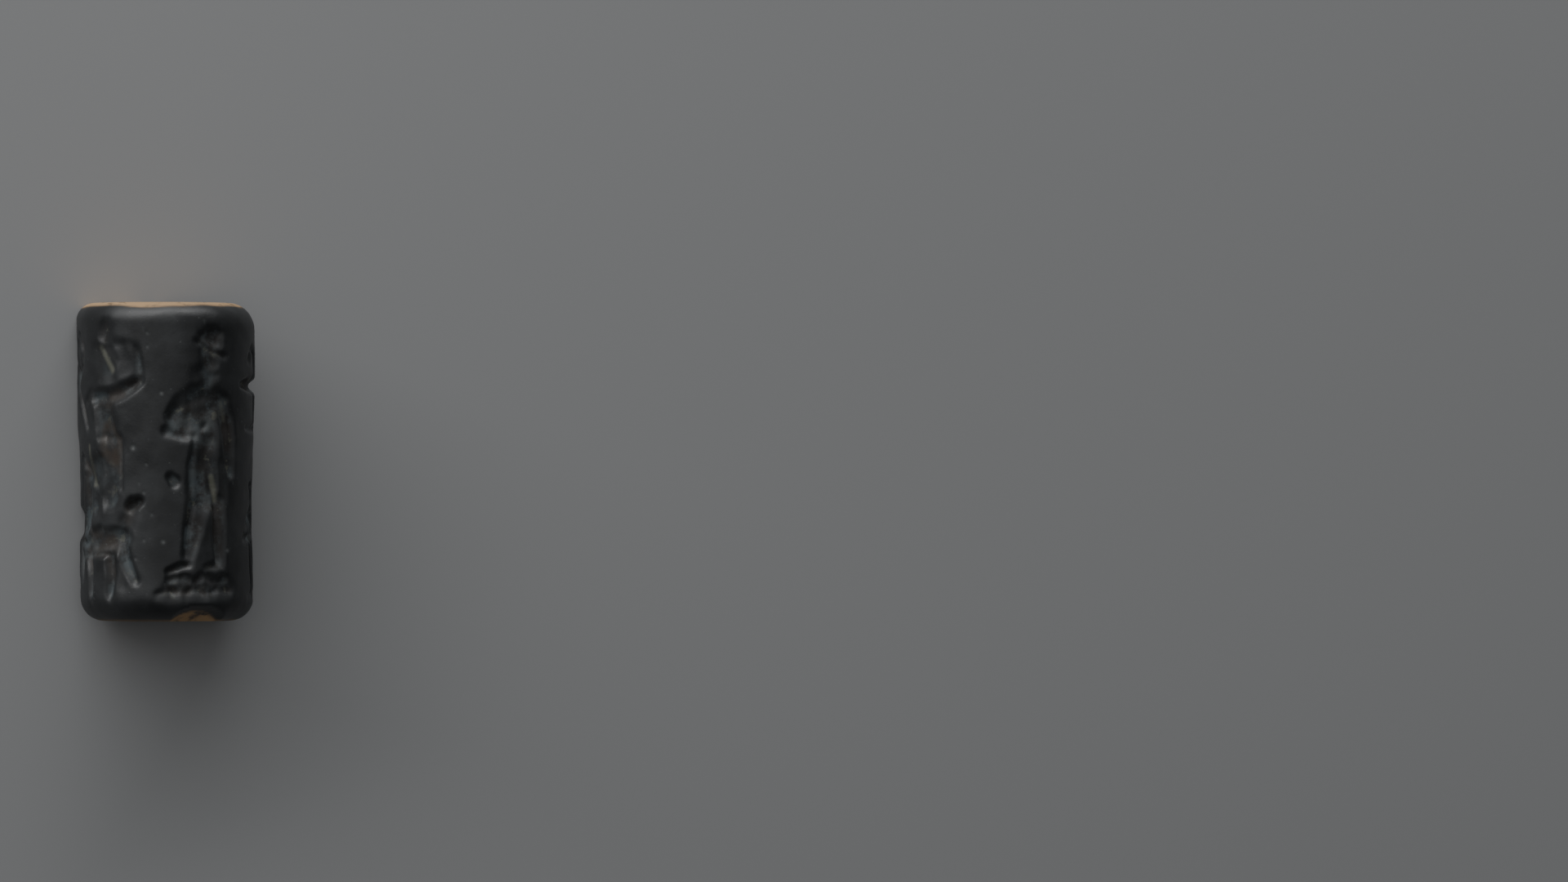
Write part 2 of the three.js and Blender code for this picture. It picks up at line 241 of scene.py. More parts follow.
BULL = Figure(
    -47.0,
    (
        hollow(DEEP, (36, 82, 7), (30, 79.5, 11), (27, 77, 9)),
        soft(FOLD, (29, 72, 18), (23, 62, 24)),
        cut(BODY, (-4, 60, 7), (-18, 56, 7), (-36, 46, 7), (-47, 56, 6)),
        hollow(BODY, (21, 53, 19), (0, 51, 22), (-28, 47, 18)),
        soft(LIMB, (18, 50, 30), (10, 48, 26)),
        cut(BODY, (10, 40, 5), (-33, 38, 5)),
        cut(FOLD, (-2, 56, 4), (-4, 42, 4)),
        cut(BODY, (18, 52, 14), (25, 35, 13), (33, 18, 8)),
        cut(BODY, (8, 38, 12), (11, 22, 13), (9, 7, 9)),
        cut(BODY, (5, 34, 6), (9, 18, 5)),
        soft(LINE, (20, 32, 20), (21, 14, 16)),
        cut(BODY, (-24, 42, 12), (-19, 28, 9), (-17, 5, 7)),
        soft(LIMB, (-34, 40, 12), (-34, 20, 8)),
        cut(BODY, (-47, 56, 6), (-42, 40, 6), (-36, 24, 4)),
        hollow(BODY, (-34, 64, 28), (-80, 64, 28)),
    ),
)

DOUBLE_BAR = Figure(
    80.0,
    (
        cut(LIMB, (1.8, 198, 4), (1.8, 142, 4)),
        cut(LIMB, (2, 192, 5), (0, 204, 5), (-7, 208, 6), (-14, 197, 5)),
        hollow(DEEP, (18, 178, 9), (2, 178, 13), (-14, 178, 12), (-27, 178, 5)),
        cut(BODY, (14, 142.6, 4), (6, 142.6, 7), (-8, 142.6, 7), (-18, 142.6, 3)),
    ),
)

SMALL_FIGURE = Figure(
    80.0,
    (
        hollow(LIMB, (8, 98, 7), (-3, 97, 8)),
        hollow(LIMB, (3, 94, 11), (3, 86, 10)),
        cut(FOLD, (3, 84, 6), (3, 76, 7)),
        cut(BODY, (10, 70, 8), (14, 58, 6), (4, 52, 5)),
        cut(BODY, (-6, 70, 8), (-17, 53, 6), (-1, 53, 5)),
        hollow(BODY, (2, 71, 15), (1, 56, 12)),
        cut(BODY, (5, 50, 7), (6, 28, 7), (6, 8, 5)),
        cut(BODY, (-4, 50, 7), (-4, 28, 7), (-3, 8, 5)),
        cut(FOLD, (13, 5, 4), (5, 6, 5)),
        cut(FOLD, (-3, 6, 5), (-14, 3, 4)),
    ),
)

ROBED_ATTENDANT = Figure(
    115.0,
    (
        hollow(LIMB, (-4, 120, 14), (1, 92, 24), (2, 40, 28)),
        cut(BODY, (-8, 127, 5), (-12, 92, 6), (-13, 33, 5)),
        cut(BODY, (-3, 120, 4), (-6, 80, 5), (-6, 36, 4)),
        cut(BODY, (7, 102, 4), (9, 70, 5), (10, 36, 4)),
        cut(FOLD, (2, 104, 4), (2, 36, 4)),
        cut(LIMB, (4, 29, 6), (-12, 28, 6)),
        cut(FOLD, (14, 19, 4), (-10, 19, 5)),
        cut(FOLD, (-2, 7, 4), (-17, 7, 5)),
    ),
)

# Painted highlight: straw-coloured streaks on lit cut walls, laid out as the figures are, with
# shares for depths
PAINTED_HIGHLIGHT_STREAKS = (
    Figure(25.0, (soft(1.0, (8, 103, 6), (13, 84, 6)), soft(0.8, (20, 163, 8), (24, 148, 5)))),
    Figure(-43.0, (soft(0.8, (-5, 208, 7), (5, 191, 8)), soft(0.6, (-22, 128, 5), (-20, 96, 6)))),
)


@dataclass(frozen=True)
class Footing:
    """The courses of small uneven blocks under the mace bearer's feet, in steps.

    Args:
        ground: The shallow hollows that the blocks stand in.
        courses: Heights of the courses.
        blocks: Blocks in a course.
        first: Place of the first block.
        apart: From one block to the next.
        shift: From one course to the next.
        half_block: From the middle of a block to each end of its cut.
        width: Mean width of a block.
        width_change: How far the widths depart from it.
        lift: How far the ends of a block are lifted and lowered.
        lift_turns: How the lift changes from block to block and from course to course.
        width_turns: How the width changes in the same way.
        wear: How much shallower each block of the upper course is than the one before it.
    """

    ground: tuple[Cut, ...] = (
        soft(FOLD, (26, 12, 22), (-28, 10, 22)),
        soft(LIMB, (-33, 9, 7), (-40, 7, 6)),
    )
    courses: tuple[int, ...] = (9, 19)
    blocks: int = 5
    first: float = 25.0
    apart: float = 12.0
    shift: float = 3.0
    half_block: float = 2.5
    width: float = 9.5
    width_change: float = 1.5
    lift: float = 2.0
    lift_turns: tuple[float, float] = (2.4, 3.0)
    width_turns: tuple[float, float] = (3.1, 2.0)
    wear: float = 0.03

    def block(self, number: int, course: int) -> Cut:
        """One block.

        Args:
            number: Its number in the course.
            course: The number of the course.

        Returns:
            The cut that makes it.
        """
        middle = self.first - self.apart * number - self.shift * course
        turn, next_turn = self.lift_turns
        lift = self.lift * math.sin(turn * number + next_turn * course)
        turn, next_turn = self.width_turns
        width = self.width + self.width_change * math.cos(turn * number + next_turn * course)
        up = self.courses[course]
        ends = (
            (middle + self.half_block, up + lift, width),
            (middle - self.half_block, up - lift, width),
        )
        return cut(BODY - self.wear * number * course, *ends)

    def figure(self) -> Figure:
        """The whole footing.

        Returns:
            Its cuts, on the middle line of the mace bearer.
        """
        blocks = [
            self.block(number, course)
            for course in range(len(self.courses))
            for number in range(self.blocks)
        ]
        return Figure(MACE_BEARER.around, (*self.ground, *blocks))


@dataclass(frozen=True)
class Waves:
    """Smooth random unevenness, the same on every run.

    Args:
        size: Rough size of a bump, in millimetres.
        seed: Which unevenness.
        amount: What its height of about -1 to 1 is multiplied by.
        stretch: How the places are squeezed along each axis.
        count: How many waves are added up.
        spread: Shortest and longest wave, as shares of the mean one.
    """

    size: float
    seed: int
    amount: float = 1.0
    stretch: Point = (1.0, 1.0, 1.0)
    count: int = 40
    spread: Band = (0.7, 1.8)

    def at(self, places: np.ndarray) -> np.ndarray:
        """Heights of the waves.

        Args:
            places: Places in millimetres, with x, y and z along the last axis.

        Returns:
            One height for each place.
        """
        points = places.reshape(-1, 3) * self.stretch
        rng = np.random.default_rng(self.seed)
        directions = rng.normal(size=(self.count, 3))
        directions /= np.linalg.norm(directions, axis=1)[:, None]
        lengths = 2.0 * self.size * rng.uniform(*self.spread, self.count)
        phases = rng.uniform(0.0, 2.0 * math.pi, self.count)
        total = np.zeros(len(points))
        for direction, length, phase in zip(directions, lengths, phases):
            total += np.cos(points @ direction * (2.0 * math.pi / length) + phase)
        return self.amount * (total / math.sqrt(self.count)).reshape(places.shape[:-1])


def smooth_share(value: np.ndarray, low: float, high: float) -> np.ndarray:
    """Rises smoothly from 0 at low to 1 at high."""
    share = np.clip((value - low) / (high - low), 0.0, 1.0)
    return share * share * (3.0 - 2.0 * share)


def worn(depth: np.ndarray, passes: int) -> np.ndarray:
    """Rounds the edges of what is cut into a grid of places.

    Args:
        depth: Depths by row and column, whose last column meets the first.
        passes: How often each place takes a share of its neighbours.

    Returns:
        The rounded depths.
    """
    for _ in range(passes):
        depth = depth / 2.0 + (np.roll(depth, 1, axis=1) + np.roll(depth, -1, axis=1)) / 4.0
        inside = depth[1:-1] / 2.0 + (depth[:-2] + depth[2:]) / 4.0
        depth = np.concatenate([depth[:1], inside, depth[-1:]])
    return depth


def turn_between(start: float, around: np.ndarray) -> np.ndarray:
    """The angle from one direction round to others, between -180 and 180."""
    return (around - start + 180.0) % 360.0 - 180.0


def placed(around: np.ndarray, radius: Union[np.ndarray, float], height: np.ndarray) -> np.ndarray:
    """Places at angles and heights, at distances from the axis."""
    turn = np.radians(around)
    return np.stack([radius * np.sin(turn), height, radius * np.cos(turn)], axis=-1)


@dataclass(frozen=True)
class Scar:
    """A hollow flake scar: the inside of a ball whose middle is out from the axis.

    Args:
        facing: Angle of its middle.
        out: Distance of its middle from the axis.
        radius: Radius of the ball.
        height: Height of its middle.
    """

    facing: float
    out: float
    radius: float
    height: float

    def reach(self, around: np.ndarray, height: np.ndarray) -> np.ndarray:
        """Distance from the axis to the scar.

        Args:
            around: Angles of the places.
            height: Heights of the places.

        Returns:
            Distances, large where the scar isn't.
        """
        along = self.out * np.cos(np.radians(around - self.facing))
        across = along**2 - self.out**2 + self.radius**2 - (height - self.height) ** 2
        found = (along > 0) & (across > 0)
        return np.where(found, along - np.sqrt(np.maximum(across, 0.0)), FAR)


@dataclass(frozen=True)
class BrokenSide:
    """The flat break with its flake scars, flakes and chips."""

    # The flat at its distance from the axis, in the seal that it was broken from
    facing: float = 197.0
    flat_distance: float = 2.6
    half_length: float = LENGTH / 2.0
    bore_radius: float = BORE / 2.0

    # Cosine of the angle to a plane's direction under which the plane is out of reach
    least_share: float = 0.05

    # The two dished scars in the flat, and the ridge between them
    thinnest_stone: float = 0.6
    head_scar_depth: float = 0.5
    head_scar_reach: float = 5.7
    head_scar_aside: float = -1.3
    ridge_height: float = -3.05
    ridge_width: float = 1.0

    # The two flakes that widen the break
    head_flake_facing: float = 144.0
    head_flake_stone: float = 2.0
    head_flake_slope: float = 0.2
    head_flake_step: float = 0.5
    head_flake_length: float = 11.3
    foot_flake_facing: float = -120.0
    foot_flake_stone: float = 4.0
    foot_flake_slope: float = 0.16

    # The chip in the head rim, and small bruises along the edges of the break
    head_chip: Scar = Scar(167.0, 7.0, 5.0, LENGTH / 2.0 - 0.8)
    bruises: tuple[Scar, ...] = (
        Scar(131.0, 8.1, 1.7, -9.1),
        Scar(123.0, 8.2, 1.9, -11.1),
        Scar(-86.0, 8.0, 1.2, -10.1),
    )

    def dish(self, depth: float, reach: float, aside: float, height: float) -> Scar:
        """A shallow round scar in the flat.

        Args:
            depth: Its depth below the flat.
            reach: How far it reaches from its middle.
            aside: How far its middle is to one side.
            height: Height of its middle.

        Returns:
            The scar.
        """
        radius = (reach**2 + depth**2) / (2.0 * depth)
        below = self.flat_distance - depth + radius
        facing = self.facing - math.degrees(math.atan2(aside, below))
        return Scar(facing, math.hypot(aside, below), radius, height)

    def scars(self) -> tuple[Scar, ...]:
        """The two scars in the flat, the chip in the head rim and the bruises.

        Returns:
            The scars.
        """
        head_height = self.ridge_height + self.ridge_width / 2 + self.head_scar_reach
        foot_depth = self.flat_distance - self.bore_radius - self.thinnest_stone
        foot_reach = self.ridge_height + self.half_length - self.ridge_width / 2
        return (
            self.dish(
                self.head_scar_depth, self.head_scar_reach, self.head_scar_aside, head_height
            ),
            self.dish(foot_depth, foot_reach, 0.0, -self.half_length),
            self.head_chip,
            *self.bruises,
        )

    def reach(self, around: np.ndarray, height: np.ndarray, rough: np.ndarray) -> np.ndarray:
        """Distance from the axis to the break.

        Args:
            around: Angles of the places.
            height: Heights of the places.
            rough: Roughness of the broken stone there, in millimetres inwards.

        Returns:
            Distances, large where the stone isn't broken.
        """
        from_head = self.half_length - height
        from_foot = self.half_length + height
        run = self.head_flake_slope * from_head
        run_out = self.head_flake_slope * self.head_flake_length
        step = self.head_flake_step * (from_head - self.head_flake_length) + run_out
        head_flake = self.bore_radius + self.head_flake_stone + np.maximum(run, step)
        foot_flake = self.bore_radius + self.foot_flake_stone + self.foot_flake_slope * from_foot
        planes = (
            (self.facing, self.flat_distance),
            (self.head_flake_facing, head_flake),
            (self.foot_flake_facing, foot_flake),
        )
        nearest = np.full_like(height, FAR)
        for facing, distance in planes:
            share = np.cos(np.radians(around - facing))
            plane = distance / np.maximum(share, self.least_share)
            nearest = np.minimum(nearest, np.where(share > self.least_share, plane, FAR))
        for scar in self.scars():
            nearest = np.minimum(nearest, scar.reach(around, height))
        return nearest - rough


@dataclass(frozen=True)
class Pits:
    """The small pale pits in the skin: those that show from the front, and scattered ones."""

    # Angle, height and size of each
    seen: tuple[Point, ...] = (
        (-12.3, 10.5, 0.2),
        (-12.3, 9.4, 0.2),
        (-3.2, 5.6, 0.25),
        (-22.3, 1.2, 0.35),
        (-13.4, -0.2, 0.2),
        (-15.0, -2.5, 0.22),
        (-9.6, -4.3, 0.2),
        (-15.0, -6.4, 0.2),
        (-2.1, -6.5, 0.28),
        (-20.6, -7.9, 0.2),
        (45.5, -7.2, 0.28),
        (25.2, 11.4, 0.2),
        (51.0, -1.7, 0.2),
    )

    # How many more there are, and between which angles, heights and sizes
    scattered: int = 70
    seed: int = 17
    angles: Band = (-90.0, 125.0)
    heights: Band = (-11.0, 11.0)
    sizes: Band = (0.06, 0.14)

    # How much of its size a pit takes up, how deep it is for its size and how it runs out
    scale: float = 0.8
    depth: float = 0.25
    steepness: float = 2.0

    # How pale a large pit and a small one are
    large: float = 0.2
    large_pale: float = 0.75
    small_pale: float = 0.35

    def at(
        self, around: np.ndarray, height: np.ndarray, radius: float
    ) -> tuple[np.ndarray, np.ndarray]:
        """What the pits do to the skin.

        Args:
            around: Angles of the places.
            height: Heights of the places.
            radius: Radius of the seal.

        Returns:
            Depths, and the share that is pale.
        """
        rng = np.random.default_rng(self.seed)
        scattered = [
            (rng.uniform(*self.angles), rng.uniform(*self.heights), rng.uniform(*self.sizes))
            for _ in range(self.scattered)
        ]
        depth = np.zeros_like(height)
        fleck = np.zeros_like(height)
        for where, level, full_size in (*self.seen, *scattered):
            size = full_size * self.scale
            side = np.radians(turn_between(where, around)) * radius
            away = (side**2 + (height - level) ** 2) / size**2
            spot = np.exp(-self.steepness * away)
            depth += self.depth * size * spot
            fleck += spot * (self.large_pale if size >= self.large else self.small_pale)
        return depth, np.clip(fleck, 0.0, 1.0)


@dataclass(frozen=True)
class Soiling:
    """Where dust, earth and film lie on the seal."""

    # Depths of a cut from which dust and earth start to lie in it, and fill it
    dust_in_cuts: Band = (0.10, 0.42)
    earth_in_cuts: Band = (0.02, 0.2)

    # The patch where the cuts hold brown earth instead of dust: its angle and height, and how
    # far it spreads in both
    patch_at: tuple[float, float] = (-48.0, -0.5)
    patch_spread: tuple[float, float] = (17.0, 6.0)
    dust_lost: float = 0.85
    earth_elsewhere: float = 0.35
    earth_in_patch: float = 0.9

    # The film. Its bands are distances from the end, or from the axis in the foot chip, taken as
    # negative so that it grows toward the higher value
    head_film: Band = (-0.42, -0.22)
    head_film_wander: float = 0.12
    foot_film: Band = (-0.22, -0.05)
    foot_film_share: float = 0.5
    chip_film: Band = (-5.75, -5.4)
    end_face_film: float = 1.0
    bore_film: float = 0.5

    def in_cuts(
        self, around: np.ndarray, height: np.ndarray, cuts: np.ndarray
    ) -> tuple[np.ndarray, np.ndarray]:
        """Dust and earth in the cuts.

        Args:
            around: Angles of the places.
            height: Heights of the places.
            cuts: Depths of the cuts there.

        Returns:
            Shares of the stone that the dust and the earth cover.
        """
        middle, level = self.patch_at
        wide, long = self.patch_spread
        aside = turn_between(middle, around) / wide
        patch = np.exp(-(aside**2 + ((height - level) / long) ** 2))
        held = smooth_share(cuts, *self.dust_in_cuts)
        in_patch = self.earth_in_patch * patch * smooth_share(cuts, *self.earth_in_cuts)
        earth = np.clip(self.earth_elsewhere * held + in_patch, 0.0, 1.0)
        return held * (1.0 - self.dust_lost * patch), earth

    def film(
        self, from_head: np.ndarray, from_foot: np.ndarray, wander: np.ndarray, chip: np.ndarray
    ) -> np.ndarray:
        """The buff film on the outside.

        Args:
            from_head: Distances from the head end.
            from_foot: Distances from the foot end.
            wander: Waves that the edge of the film follows.
            chip: Distances from the axis to the foot chip.

        Returns:
            Shares of the stone that it covers.
        """
        at_head = smooth_share(-from_head + self.head_film_wander * wander, *self.head_film)
        at_foot = self.foot_film_share * smooth_share(-from_foot, *self.foot_film)
        return np.maximum(np.maximum(at_head, at_foot), smooth_share(-chip, *self.chip_film))


@dataclass(frozen=True)
class Pattern:
    """A noise pattern in the stone.

    Args:
        scale: Bumps to the metre.
        detail: Its octaves.
        roughness: Strength of the finer octaves.
        band: Values of the noise from which it starts to show, and shows in full.
        shift: Which part of the pattern is used.
        stretch: How it is squeezed along each axis.
    """

    scale: float
    detail: float
    roughness: float
    band: Band = (0.0, 1.0)
    shift: float = 0.0
    stretch: Point = (1.0, 1.0, 1.0)


class Nodes:
    """A material's node tree, with one method for each kind of node that it takes."""

    # Share of a pattern's shift that goes along Y, so that shifted patterns don't line up
    SHIFT_ALONG = 0.7

    def __init__(self, name: str) -> None:
        """Makes the material with its shader.

        Args:
            name: The material's name.
        """
        self.material = bpy.data.materials.new(name)
        self.material.use_nodes = True
        self.tree = self.material.node_tree
        self.tree.nodes.clear()
        self.shader = self.tree.nodes.new("ShaderNodeBsdfPrincipled")
        output = self.tree.nodes.new("ShaderNodeOutputMaterial")
        self.tree.links.new(self.shader.outputs["BSDF"], output.inputs["Surface"])
        self.place = self.tree.nodes.new("ShaderNodeTexCoord").outputs["Object"]

    def link(self, source: Value, target: Socket) -> None:
        """Gives an input its value or its link.

        Args:
            source: A number, a colour or the output of another node.
            target: The input.
        """
        if isinstance(source, bpy.types.NodeSocket):
            self.tree.links.new(source, target)
        else:
            target.default_value = source

    def attribute(self, mask: Mask) -> Socket:
        """A mask that the mesh carries at each of its points.

        Args:
            mask: Which one.

        Returns:
            Its value.
        """
        node = self.tree.nodes.new("ShaderNodeAttribute")
        node.attribute_name = mask.value
        return node.outputs["Fac"]

    def noise(self, pattern: Pattern) -> Socket:
        """A noise pattern in the object's own space.

        Args:
            pattern: Which one.

        Returns:
            The value of its noise.
        """
        shift = pattern.shift
        mapping = self.tree.nodes.new("ShaderNodeMapping")
        mapping.inputs["Location"].default_value = (shift, shift * self.SHIFT_ALONG, -shift)
        mapping.inputs["Scale"].default_value = pattern.stretch
        self.tree.links.new(self.place, mapping.inputs["Vector"])
        node = self.tree.nodes.new("ShaderNodeTexNoise")
        node.inputs["Scale"].default_value = pattern.scale
        node.inputs["Detail"].default_value = pattern.detail
        node.inputs["Roughness"].default_value = pattern.roughness
        self.tree.links.new(mapping.outputs["Vector"], node.inputs["Vector"])
        return node.outputs["Fac"]

    def ramp(self, value: Socket, band: Band) -> Socket:
        """Rises smoothly from 0 to 1 over a band of values.

        Args:
            value: The value that is read.
            band: The values where it starts and ends.

        Returns:
            The share.
        """
        node = self.tree.nodes.new("ShaderNodeMapRange")
        node.interpolation_type = "SMOOTHSTEP"
        node.inputs["From Min"].default_value, node.inputs["From Max"].default_value = band
        self.tree.links.new(value, node.inputs["Value"])
        return node.outputs["Result"]

    def patches(self, pattern: Pattern) -> Socket:
        """The share of the stone that a pattern covers."""
        return self.ramp(self.noise(pattern), pattern.band)

    def calculate(self, operation: str, first: Value, second: Value) -> Socket:
        """One calculation with two values.

        Args:
            operation: Name of the calculation.
            first: The first value.
            second: The second value.

        Returns:
            The result.
        """
        node = self.tree.nodes.new("ShaderNodeMath")
        node.operation = operation
        self.link(first, node.inputs[0])
        self.link(second, node.inputs[1])
        return node.outputs["Value"]

    def times(self, first: Value, second: Value) -> Socket:
        """The product of two values."""
        return self.calculate("MULTIPLY", first, second)

    def add(self, first: Value, second: Value) -> Socket:
        """The sum of two values."""
        return self.calculate("ADD", first, second)

    def mix(self, kind: Mix, share: Value, under: Value, over: Value) -> Socket:
        """A value or a colour laid over another.

        Args:
            kind: Whether they are values or colours.
            share: How much of the upper one shows.
            under: The lower one.
            over: The upper one.

        Returns:
            What shows.
        """
        node = self.tree.nodes.new("ShaderNodeMix")
        node.data_type, first, second, result = kind.value
        self.link(share, node.inputs[0])
        self.link(under, node.inputs[first])
        self.link(over, node.inputs[second])
        return node.outputs[result]

    def bump(self, height: Socket, strength: float, distance: float) -> None:
        """Fine relief on the shader's normal.

        Args:
            height: The relief's height, about 0 to 1.
            strength: How much of it shows.
            distance: Height of 1 in metres.
        """
        node = self.tree.nodes.new("ShaderNodeBump")
        node.inputs["Strength"].default_value = strength
        node.inputs["Distance"].default_value = distance
        self.tree.links.new(height, node.inputs["Height"])
        self.tree.links.new(node.outputs["Normal"], self.shader.inputs["Normal"])


@dataclass(frozen=True)
class StoneFinish:
    """Colours, gloss and fine relief of the seal's worn black stone, with painted highlight
    streaks in its cuts.
    """

    # The stone's two greys, and what lies on it or shows in it
    dark: Colour = (0.015, 0.0162, 0.0172, 1.0)
    light: Colour = (0.027, 0.0292, 0.031, 1.0)
    dust: Colour = (0.082, 0.100, 0.108, 1.0)
    earth: Colour = (0.052, 0.040, 0.031, 1.0)
    # Straw colour: of the traces in the dust, and of the painted highlight streaks on lit cut
    # walls
    straw: Colour = (0.135, 0.138, 0.108, 1.0)
    film: Colour = (0.42, 0.272, 0.142, 1.0)
    fresh: Colour = (0.040, 0.041, 0.043, 1.0)
    fleck: Colour = (0.13, 0.14, 0.14, 1.0)

    # How they are spread, and how much of some of them shows
    mottle: Pattern = Pattern(320.0, 5.0, 0.6, (0.36, 0.66))
    dust_clouds: Pattern = Pattern(520.0, 4.0, 0.65, (0.42, 0.62))
    earth_clouds: Pattern = Pattern(260.0, 3.0, 0.5, (0.44, 0.60), 7.3)
    straw_traces: Pattern = Pattern(900.0, 3.0, 0.6, (0.60, 0.68), 3.1)
    fine_flecks: Pattern = Pattern(2600.0, 2.0, 0.5, (0.72, 0.78), 1.7)
    film_cover: Pattern = Pattern(600.0, 4.0, 0.6, (0.30, 0.52), 5.5)
    # Mottle values over which the painted highlight streaks show
    streak_band: Band = (0.30, 0.55)
    fresh_share: float = 0.85
    straw_share: float = 0.6
    fleck_share: float = 0.35

    # Roughness of the polish between two values, and of what dulls it
    polish_band: Band = (0.3, 0.7)
    polish: tuple[float, float] = (0.38, 0.52)
    dusty_roughness: float = 0.62
    broken_roughness: float = 0.66
    film_roughness: float = 0.85
    specular: float = 0.5
    refraction: float = 1.55

    # Grain, dents and scratches with their heights, and the chatter of the tool in the cuts
    relief: tuple[tuple[Pattern, float], ...] = (
        (Pattern(5200.0, 4.0, 0.6), 0.35),
        (Pattern(1300.0, 3.0, 0.5), 0.8),
        (Pattern(900.0, 2.0, 0.5, shift=9.0, stretch=(1.0, 0.14, 1.0)), 0.25),
    )
    chatter: Pattern = Pattern(1500.0, 3.0, 0.6, shift=4.0, stretch=(1.0, 0.45, 1.0))
    chatter_height: float = 3.0
    relief_strength: float = 0.55
    relief_distance: float = 0.00003

    def colour(self, work: Nodes, mottle: Socket, filmed: Socket) -> Socket:
        """Colour of the stone and of what lies on it, with painted highlight streaks in the cuts.

        Args:
            work: The material's nodes.
            mottle: The noise that the stone is mottled by.
            filmed: The share that the film covers.

        Returns:
            The colour.
        """
        dust = work.attribute(Mask.DUST)
        traces = work.times(work.times(dust, work.patches(self.straw_traces)), self.straw_share)
        # Painted highlight: straw-coloured streaks along the lit walls of some cuts
        highlight_streaks = work.times(work.attribute(Mask.PAINTED_HIGHLIGHT), work.ramp(mottle, self.streak_band))
        earthy = work.times(work.attribute(Mask.EARTH), work.patches(self.earth_clouds))
        layers = (
            (work.times(work.attribute(Mask.BROKEN), self.fresh_share), self.fresh),
            (work.times(dust, work.patches(self.dust_clouds)), self.dust),
            (earthy, self.earth),
            (work.add(traces, highlight_streaks), self.straw),
            (work.times(work.patches(self.fine_flecks), self.fleck_share), self.fleck),
            (work.attribute(Mask.FLECK), self.fleck),
            (filmed, self.film),
        )
        stone = work.ramp(mottle, self.mottle.band)
        colour = work.mix(Mix.COLOUR, stone, self.dark, self.light)
        for share, over in layers:
            colour = work.mix(Mix.COLOUR, share, colour, over)
        return colour

    def roughness(self, work: Nodes, mottle: Socket, filmed: Socket) -> Socket:
        """Roughness of the stone and of what lies on it.

        Args:
            work: The material's nodes.
            mottle: The noise that the stone is mottled by.
            filmed: The share that the film covers.

        Returns:
            The roughness.
        """
        rough = work.mix(Mix.VALUE, work.ramp(mottle, self.polish_band), *self.polish)
        rough = work.mix(Mix.VALUE, work.attribute(Mask.DUST), rough, self.dusty_roughness)
        rough = work.mix(Mix.VALUE, work.attribute(Mask.BROKEN), rough, self.broken_roughness)
        return work.mix(Mix.VALUE, filmed, rough, self.film_roughness)

    def relief_height(self, work: Nodes) -> Socket:
        """Height of the fine relief.

        Args:
            work: The material's nodes.

        Returns:
            The height.
        """
        parts = [work.times(work.noise(pattern), share) for pattern, share in self.relief]
        chatter = work.times(work.noise(self.chatter), work.attribute(Mask.DUST))
        return reduce(work.add, [*parts, work.times(chatter, self.chatter_height)])

    def material(self) -> bpy.types.Material:
        """Builds the stone's material.

        Returns:
            The material.
        """
        work = Nodes("black_stone")
        mottle = work.noise(self.mottle)
        filmed = work.times(work.attribute(Mask.FILM), work.patches(self.film_cover))
        work.link(self.colour(work, mottle, filmed), work.shader.inputs["Base Color"])
        work.link(self.roughness(work, mottle, filmed), work.shader.inputs["Roughness"])
        work.shader.inputs["Specular IOR Level"].default_value = self.specular
        work.shader.inputs["IOR"].default_value = self.refraction
        work.bump(self.relief_height(work), self.relief_strength, self.relief_distance)
        return work.material


@dataclass
class Outside:
    """The outside of the seal on a grid of rows and columns.

    Args:
        radius: Distances from the axis.
        masks: What lies on it or shows in it, as shares.
    """

    radius: np.ndarray
    masks: dict[Mask, np.ndarray]


@dataclass
class BlankPoints:
    """The points of the blank, and where each of them belongs on the seal.

    Args:
        place: Places in the blank.
        across: Distances from the blank's axis.
        around: Angles on the seal.
        row: Rows of the outside, from the foot end.
        column: Columns of the outside.
        outer: Which of them are on the outside.
        inner: Which of them are in the bore.
    """

    place: np.ndarray
    across: np.ndarray
    around: np.ndarray
    row: np.ndarray
    column: np.ndarray
    outer: np.ndarray
    inner: np.ndarray

    @property
    def ends(self) -> np.ndarray:
        """Which of them are on an end face, between the bore and the outside."""
        return ~self.outer & ~self.inner

    def on_outside(self, grid: np.ndarray) -> np.ndarray:
        """What a grid of the outside gives for the points that are on it."""
        return grid[self.row[self.outer], self.column[self.outer]]


